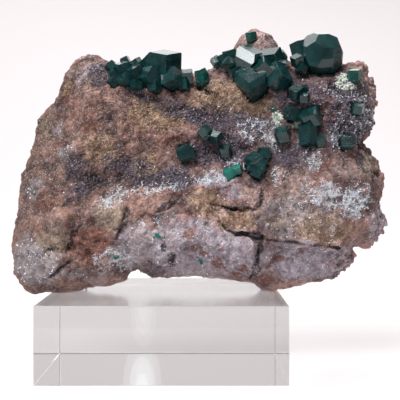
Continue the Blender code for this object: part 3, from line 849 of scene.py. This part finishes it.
@dataclass(frozen=True)
class StageFinish:
    """Near-white paper with a faint tooth."""

    paper: Colour = (0.36, 0.342, 0.346)
    light: Colour = (1.0, 0.95, 0.96)
    glow: float = 0.5

    def material(self) -> Material:
        """The stage's material.

        Returns:
            The material.
        """
        surface = Surface("stage_paper")
        tooth = surface.wiring.noise(surface.place, 1.5)
        deeper = tuple(0.985 * channel for channel in self.paper)
        colour = surface.wiring.mix(tooth, self.paper, deeper)
        surface.set(Base_Color=colour, Roughness=0.9)
        surface.set(Emission_Color=self.light, Emission_Strength=self.glow)
        return surface.material


@dataclass
class Stone:
    """The matrix: the CAD stone remeshed finely, roughened, grooved and given its mineral zones."""

    voxel: float = 0.44
    skin: float = 0.12
    back_start: float = 3.0
    back_keep: float = 0.3
    rim_start: float = 52.0
    rim_fray: float = 1.5
    rim_bite: float = 0.12
    lumps: tuple[tuple[str, float, float], ...] = (
        ("broken", 8.0, 3.2), ("knobbly", 2.8, 1.9), ("gritty", 1.0, 0.6))

    def build(self) -> Object:
        """Make the stone.

        Returns:
            The finished piece.
        """
        piece = copy_of_node("matrix", "rough_stone")
        apply_modifier(piece, "REMESH", mode="VOXEL", voxel_size=self.voxel * MM)
        for name, size, depth in self.lumps:
            self._roughen(piece, name, size, depth)
        self._fray_rim(piece)
        self._cut_grooves(piece)
        self._thin_back(piece)
        self._mark_zones(piece)
        piece.data.shade_smooth()
        piece.data.materials.append(StoneFinish().material())
        hand_over(piece, Slot.STONE, "matrix")
        return piece

    def _roughen(self, piece: Object, name: str, size: float, depth: float) -> None:
        """Push the surface in and out by seeded noise.

        Args:
            piece: The stone.
            name: The noise's name.
            size: Its feature size in mm.
            depth: How far it moves the surface in all, in mm.
        """
        texture = bpy.data.textures.new(name, "CLOUDS")
        texture.noise_scale = size * MM
        texture.noise_depth = 2
        texture.noise_basis = "IMPROVED_PERLIN"
        apply_modifier(
            piece, "DISPLACE", texture=texture, texture_coords="LOCAL", strength=depth * MM,
            mid_level=0.5 - self.skin / depth / len(self.lumps))

    def _fray_rim(self, piece: Object) -> None:
        """Break up the right rim, which is rougher than the rest.

        Args:
            piece: The stone.
        """
        places = vertex_places(piece.data)
        near_rim = eased((places[:, 0] - self.rim_start) / 10.0)
        rough = near_rim * eased((11.0 - np.abs(places[:, 1])) / 5.0)
        shown = np.flatnonzero(rough)
        teeth = wander(places[shown], 2.4, 11.0)[:, 0]
        crumbs = 0.5 * wander(places[shown], 1.1, 12.0)[:, 1]
        push = self.rim_fray * rough[shown] * (teeth + crumbs - self.rim_bite)
        places[shown] += vertex_normals(piece.data)[shown] * push[:, None]
        move_vertices(piece.data, places)

    def _cut_grooves(self, piece: Object) -> None:
        """Sink the thin dark lines into the crystal side.

        Args:
            piece: The stone.
        """
        places = vertex_places(piece.data)
        normals = vertex_normals(piece.data)
        frayed = places + 0.5 * wander(places, 1.6, 3.0)
        facing = eased((2.0 - places[:, 1]) / 6.0)
        for groove in GROOVES:
            sunk = groove.depth * groove.at(frayed) * facing
            places -= normals * sunk[:, None]
        move_vertices(piece.data, places)

    def _thin_back(self, piece: Object) -> None:
        """Use fewer triangles on the broken back, which has no fine detail.

        Args:
            piece: The stone.
        """
        places = vertex_places(piece.data)
        group = piece.vertex_groups.new(name="back")
        group.add([int(i) for i in np.flatnonzero(places[:, 1] > self.back_start)], 1.0, "REPLACE")
        apply_modifier(
            piece, "DECIMATE", ratio=self.back_keep, vertex_group="back", vertex_group_factor=10.0)
        piece.vertex_groups.clear()

    def _mark_zones(self, piece: Object) -> None:
        """Write each zone's strength at every vertex.

        Args:
            piece: The stone.
        """
        places = vertex_places(piece.data)
        frayed = places + 2.4 * wander(places, 6.0, 1.0) + 0.9 * wander(places, 1.7, 2.0)
        facing = eased((9.0 - places[:, 1]) / 9.0)
        broad = wander(places, 14.0, 8.0)
        behind = dict(zip((Zone.PALE, Zone.RUST, Zone.TAN, Zone.PURPLE), (*broad.T, -broad[:, 0])))
        for zone in Zone:
            strength = np.zeros(len(places))
            for row in PATCHES[zone]:
                strength = np.maximum(strength, Patch(*row).at(frayed))
            strength *= facing
            if zone in behind:
                strength = np.maximum(strength, (1.0 - facing) * eased(behind[zone] * 2.2 - 0.2))
            # The grooves get the dark colour as painted shade.
            if zone is Zone.DARK:
                for groove in GROOVES:
                    strength = np.maximum(strength, groove.at(frayed, 0.9) * facing)
            add_attribute(piece, zone.value, strength)
        # The relief sets the painted shade in the hollows and painted light on the knobs of the stone's
        # colour.
        add_attribute(piece, "relief", relief(piece.data, 4) + 0.45 * relief(piece.data, 30))


def add_attribute(piece: Object, name: str, values: np.ndarray) -> None:
    """Give every vertex of a piece a number, kept under the attribute's name."""
    attribute = piece.data.attributes.new(name, "FLOAT", "POINT")
    attribute.data.foreach_set("value", values.astype(np.float32))


def relief(mesh: Mesh, rounds: int) -> np.ndarray:
    """How far each vertex stands out of a smoothed copy of the mesh, in mm.

    Args:
        mesh: The mesh to read.
        rounds: How often the copy is smoothed.

    Returns:
        A number for each vertex, below 0 in hollows.
    """
    ends = np.zeros(len(mesh.edges) * 2, np.int32)
    mesh.edges.foreach_get("vertices", ends)
    ends = ends.reshape(-1, 2)
    places = vertex_places(mesh)
    count = np.bincount(ends.ravel(), minlength=len(places)).astype(float)
    smooth = places.copy()
    for _ in range(rounds):
        moved = np.empty_like(smooth)
        for axis in range(3):
            near = np.bincount(ends[:, 0], smooth[ends[:, 1], axis], len(places))
            near += np.bincount(ends[:, 1], smooth[ends[:, 0], axis], len(places))
            moved[:, axis] = near / count
        smooth = 0.5 * smooth + 0.5 * moved
    return ((places - smooth) * vertex_normals(mesh)).sum(axis=1)


@dataclass
class Crystals:
    """One CAD node of dioptase with polished faces and fine edges, its angles in degrees."""

    node: str
    finish: Material
    edge: float = 0.09
    flat: float = 1.0
    sharp: float = 25.0

    def build(self) -> Object:
        """Make the crystals.

        Returns:
            The finished piece.
        """
        piece = copy_of_node(self.node, self.node + "_dressed")
        with all_in_edit(piece):
            bpy.ops.mesh.dissolve_limited(angle_limit=math.radians(self.flat))
        apply_modifier(
            piece, "BEVEL", width=self.edge * MM, segments=1, limit_method="ANGLE",
            angle_limit=math.radians(self.sharp), use_clamp_overlap=True)
        piece.data.shade_flat()
        piece.data.materials.append(self.finish)
        hand_over(piece, Slot.DIOPTASE, self.node)
        return piece


@dataclass
class Druse:
    """Many small crystals or grains of one mineral, joined in one piece and rooted in the stone.

    Lengths are in mm, and a vein above 0 keeps them near winding lines of that width.
    """

    name: str
    material: Material
    zones: dict[Zone, float]
    count: int
    smallest: float
    largest: float
    sides: int
    slender: float
    lean: float
    seed: int
    slot: Slot = Slot.STONE
    vein: float = 0.0
    small_bias: float = 2.2
    back_limit: float = 6.0
    slide: float = 0.12

    def build(self, stone: Object) -> Object:
        """Scatter the crystals over the stone.

        Args:
            stone: The finished stone.

        Returns:
            The finished piece.
        """
        verts, faces = self._one()
        chance = np.random.default_rng(self.seed)
        places, normals = self._spots(stone, chance)
        many_verts = []
        many_faces = []
        for index, (place, normal) in enumerate(zip(places, normals)):
            size = self.smallest + (self.largest - self.smallest) * chance.random() ** self.small_bias
            axis = Vector(normal + self.lean * chance.normal(size=3)).normalized()
            turned = axis.to_track_quat("Z", "Y").to_matrix()
            spin = chance.random() * math.tau
            cos, sin = math.cos(spin), math.sin(spin)
            flat = np.array([[cos, -sin, 0], [sin, cos, 0], [0, 0, 1]])
            shape = verts * np.array([size, size * (0.7 + 0.3 * chance.random()), size * self.slender])
            many_verts.append(place + shape @ flat.T @ np.array(turned).T)
            many_faces.append(faces + index * len(verts))
        mesh = bpy.data.meshes.new(self.name)
        all_verts = np.concatenate(many_verts) * MM
        mesh.from_pydata(all_verts.tolist(), [], np.concatenate(many_faces).tolist())
        piece = new_object(self.name, mesh)
        piece.data.shade_flat()
        piece.data.materials.append(self.material)
        hand_over(piece, self.slot)
        return piece

    def _one(self) -> tuple[np.ndarray, np.ndarray]:
        """Model one crystal: a ring drawn out to a point at either end.

        Returns:
            Its vertices, about one unit across, and its triangles.
        """
        bpy.ops.object.select_all(action="DESELECT")
        bpy.ops.mesh.primitive_cone_add(
            vertices=self.sides, radius1=0.5, radius2=0.32, depth=0.9, end_fill_type="TRIFAN")
        one = bpy.context.object
        with all_in_edit(one):
            bpy.ops.mesh.quads_convert_to_tris()
        verts = np.array([vert.co[:] for vert in one.data.vertices])
        verts[np.hypot(verts[:, 0], verts[:, 1]) < 1e-4] *= (1.0, 1.0, 1.5)
        faces = np.array([face.vertices[:] for face in one.data.polygons])
        bpy.data.objects.remove(one)
        return verts, faces

    def _spots(self, stone: Object, chance: np.random.Generator) -> tuple[np.ndarray, np.ndarray]:
        """Choose where the crystals stand.

        Args:
            stone: The finished stone.
            chance: The seeded choice.

        Returns:
            Places in mm and directions, one to a row.
        """
        places = vertex_places(stone.data)
        normals = vertex_normals(stone.data)
        weight = np.zeros(len(places))
        for zone, share in self.zones.items():
            strength = np.zeros(len(places), np.float32)
            stone.data.attributes[zone.value].data.foreach_get("value", strength)
            weight += share * strength**1.5
        weight *= places[:, 1] < self.back_limit
        if self.vein:
            shown = np.flatnonzero(weight)
            off_vein = wander(places[shown], 3.2, 20.0)[:, 0]
            weight[shown] *= 0.05 + np.exp(-((off_vein / self.vein) ** 2))
        picked = chance.choice(len(places), size=self.count, p=weight / weight.sum())
        slide = chance.normal(scale=self.slide, size=(self.count, 3))
        return places[picked] + slide, normals[picked]


@dataclass
class DisplayBlock:
    """The clear acrylic block that the stone rests on."""

    edge: float = 0.35

    def build(self) -> Object:
        """Make the block.

        Returns:
            The finished piece.
        """
        low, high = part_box("display_block")
        bpy.ops.object.select_all(action="DESELECT")
        bpy.ops.mesh.primitive_cube_add(size=1.0, location=(low + high) / 2.0, scale=high - low)
        piece = bpy.context.object
        piece.name = "polished_block"
        bpy.ops.object.transform_apply(location=True, rotation=True, scale=True)
        apply_modifier(piece, "BEVEL", width=self.edge * MM, segments=2)
        piece.data.shade_flat()
        piece.data.materials.append(AcrylicFinish().material())
        piece.visible_shadow = False
        hand_over(piece, Slot.ACRYLIC, "display_block")
        return piece


@dataclass(frozen=True)
class SoftLight:
    """A large soft light, placed and aimed in metres, its power in watts."""

    name: str
    place: Place
    size: float
    power: float
    aim: Place

    def build(self) -> None:
        """Hang the light and aim it."""
        light = bpy.data.lights.new(self.name, "AREA")
        light.size = self.size
        light.energy = self.power
        lamp = new_object(self.name, light)
        lamp.location = self.place
        lamp.rotation_euler = (Vector(self.aim) - lamp.location).to_track_quat("-Z", "Y").to_euler()


@dataclass(frozen=True)
class Gleam:
    """A soft patch of daylight seen through the clear block alone.

    It is laid up from lights of falling size, a millimetre apart.
    """

    place: Place
    width: float
    height: float
    glow: float
    steps: int = 3
    daylight: Colour = (0.82, 0.94, 1.0)

    def build(self) -> None:
        """Hang the patch behind the block, facing it."""
        for step in range(self.steps):
            share = 1.0 - step / self.steps
            light = bpy.data.lights.new("gleam", "AREA")
            light.shape = "ELLIPSE"
            light.size = share * self.width * MM
            light.size_y = share * self.height * MM
            light.color = self.daylight
            light.energy = self.glow / self.steps * light.size * light.size_y * math.pi
            lamp = new_object("gleam", light)
            lamp.location = Vector(self.place) * MM
            lamp.location.y -= step * MM
            lamp.rotation_euler.x = math.radians(-90.0)
            lamp.visible_camera = False
            lamp.visible_glossy = False


@dataclass
class Studio:
    """The paper sweep, the soft lights and the camera."""

    half_width: float = 1.6
    front: float = -0.15
    back: float = 0.9
    sweep: float = 0.35
    top: float = 1.7
    drop: float = 0.0002
    room: Colour = (0.2, 0.195, 0.2)
    room_seen: Colour = (0.98, 0.93, 0.94)
    viewpoint: Place = (0.0121, -0.314, 0.0637)
    lens: float = 79.1
    shift: float = -0.045
    lights: tuple[SoftLight | Gleam, ...] = (
        SoftLight("window", (-0.26, -0.45, 0.68), 0.42, 8.6, (0.01, 0.0, 0.06)),
        SoftLight("high_back", (0.05, 0.38, 0.66), 1.0, 4.6, (0.01, 0.0, 0.06)),
        SoftLight("backdrop_wash", (0.0, 0.25, 1.0), 0.6, 4.6, (0.0, 0.9, 0.25)),
        Gleam((-9.6, 50.0, 15.0), 10.0, 30.0, 0.14),
        Gleam((-26.5, 300.0, 74.0), 26.0, 64.0, 0.34),
    )

    def build(self) -> None:
        """Set up the stage, the lights and the camera."""
        self._sweep()
        self._world()
        for light in self.lights:
            light.build()
        self._camera()

    def _sweep(self) -> None:
        """A floor that curves up into a backdrop."""
        bpy.ops.object.select_all(action="DESELECT")
        bpy.ops.mesh.primitive_plane_add(size=1.0, location=(0.0, 0.0, -self.drop))
        sweep = bpy.context.object
        sweep.name = "paper_sweep"
        sweep.scale = (2.0 * self.half_width, self.back - self.sweep - self.front, 1.0)
        sweep.location.y = (self.back - self.sweep + self.front) / 2.0
        bpy.ops.object.transform_apply(location=True, rotation=True, scale=True)
        shape = bmesh.new()
        shape.from_mesh(sweep.data)
        far = self.back - self.sweep
        edge = [e for e in shape.edges if all(v.co.y > far - 1e-4 for v in e.verts)]
        bmesh.ops.spin(
            shape, geom=edge, cent=(0.0, far, self.sweep), axis=(1.0, 0.0, 0.0),
            angle=math.radians(90.0), steps=24)
        last = [e for e in shape.edges if all(v.co.y > self.back - 1e-3 for v in e.verts)]
        rise = bmesh.ops.extrude_edge_only(shape, edges=last)
        lifted = [item for item in rise["geom"] if isinstance(item, bmesh.types.BMVert)]
        bmesh.ops.translate(shape, verts=lifted, vec=(0.0, 0.0, self.top))
        bmesh.ops.recalc_face_normals(shape, faces=shape.faces)
        shape.to_mesh(sweep.data)
        shape.free()
        sweep.data.shade_smooth()
        sweep.data.materials.append(StageFinish().material())

    def _world(self) -> None:
        """Pale light from all round."""
        world = bpy.data.worlds.new("pale_room")
        world.use_nodes = True
        wiring = Wiring(world.node_tree)
        rays = wiring.add("LightPath")
        seen = wiring.sum("MAXIMUM", rays.outputs["Is Camera Ray"], rays.outputs["Is Transmission Ray"])
        colour = wiring.mix(seen, self.room, self.room_seen)
        background = world.node_tree.nodes["Background"]
        wiring.feed(background.inputs["Color"], colour)
        background.inputs["Strength"].default_value = 1.0
        bpy.context.scene.world = world

    def _camera(self) -> None:
        """The camera at the photograph's viewing angle."""
        camera = bpy.data.cameras.new("camera")
        camera.lens = self.lens
        camera.sensor_width = 36.0
        camera.shift_y = self.shift
        camera.clip_start = 0.01
        holder = new_object("camera", camera)
        holder.location = self.viewpoint
        holder.rotation_euler.x = math.radians(90.0)
        bpy.context.scene.camera = holder
        bpy.context.scene.view_settings.view_transform = "Standard"


def crystal_pieces(vivid: Material) -> Iterable[Crystals]:
    """Every dioptase node with its finish.

    Args:
        vivid: The finish of the most colourful crystals.

    Returns:
        The pieces to build.
    """
    dark = DARK_GREEN.material()
    bright = TEAL.material()
    finishes = {
        "bright_face_crystals": vivid,
        "upper_crystal_pair": bright,
        "knob_crystal": bright,
        "rim_upper_crystal": bright,
    }
    for node in sorted(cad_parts):
        if node not in ("matrix", "display_block"):
            yield Crystals(node, finishes.get(node, dark))


def druse_pieces(vivid: Material) -> tuple[Druse, ...]:
    """The small crystals and grains on the stone.

    Args:
        vivid: The finish of the smallest dioptase crystals.

    Returns:
        The pieces to build.
    """
    violet = MineralFinish("violet_druse", linear(120, 111, 125), linear(68, 64, 77), 0.25, 0.6)
    frost = MineralFinish("frost_druse", linear(250, 253, 255), linear(234, 240, 250), 0.25, 0.5, 0.1)
    sand = MineralFinish("sand_grains", linear(172, 146, 124), linear(108, 86, 72), 0.8, 0.5)
    lichen = MineralFinish("green_white_crust", linear(238, 241, 230), linear(176, 190, 178), 0.6, 0.4)
    bands = {Zone.PURPLE: 1.0, Zone.DARK: 0.3}
    everywhere = {Zone.PURPLE: 0.06, Zone.PALE: 0.1, Zone.WHITE: 0.6, Zone.TAN: 0.04}
    return (
        Druse("violet_druse", violet.material(), bands, 5200, 0.35, 1.0, 6, 0.9, 0.45, 11),
        Druse("frost_specks", frost.material(), everywhere, 3200, 0.16, 0.6, 4, 1.3, 0.7, 12, vein=0.16),
        Druse("frost_needles", frost.material(), {Zone.WHITE: 1.0},
              4600, 0.12, 0.3, 4, 5.0, 1.6, 15, vein=0.08),
        Druse("sand_grains", sand.material(), {Zone.TAN: 1.0, Zone.OCHRE: 0.4, Zone.OLIVE: 0.2},
              3000, 0.3, 1.0, 5, 0.7, 0.6, 13),
        Druse("pale_crust", lichen.material(), {Zone.CRUST: 1.0}, 900, 0.3, 1.1, 5, 0.8, 0.6, 14),
        Druse("teal_grains", vivid, {Zone.TEAL: 1.0}, 46, 0.5, 1.5, 6, 0.9, 0.5, 16, Slot.DIOPTASE),
    )


def main() -> None:
    """Build every piece in order."""
    logging.basicConfig(level=logging.INFO, format="%(name)s: %(message)s")
    Studio().build()
    DisplayBlock().build()
    stone = Stone().build()
    vivid = VIVID.material()
    for crystals in crystal_pieces(vivid):
        crystals.build()
    for druse in druse_pieces(vivid):
        druse.build(stone)


if __name__ == "__main__":
    main()
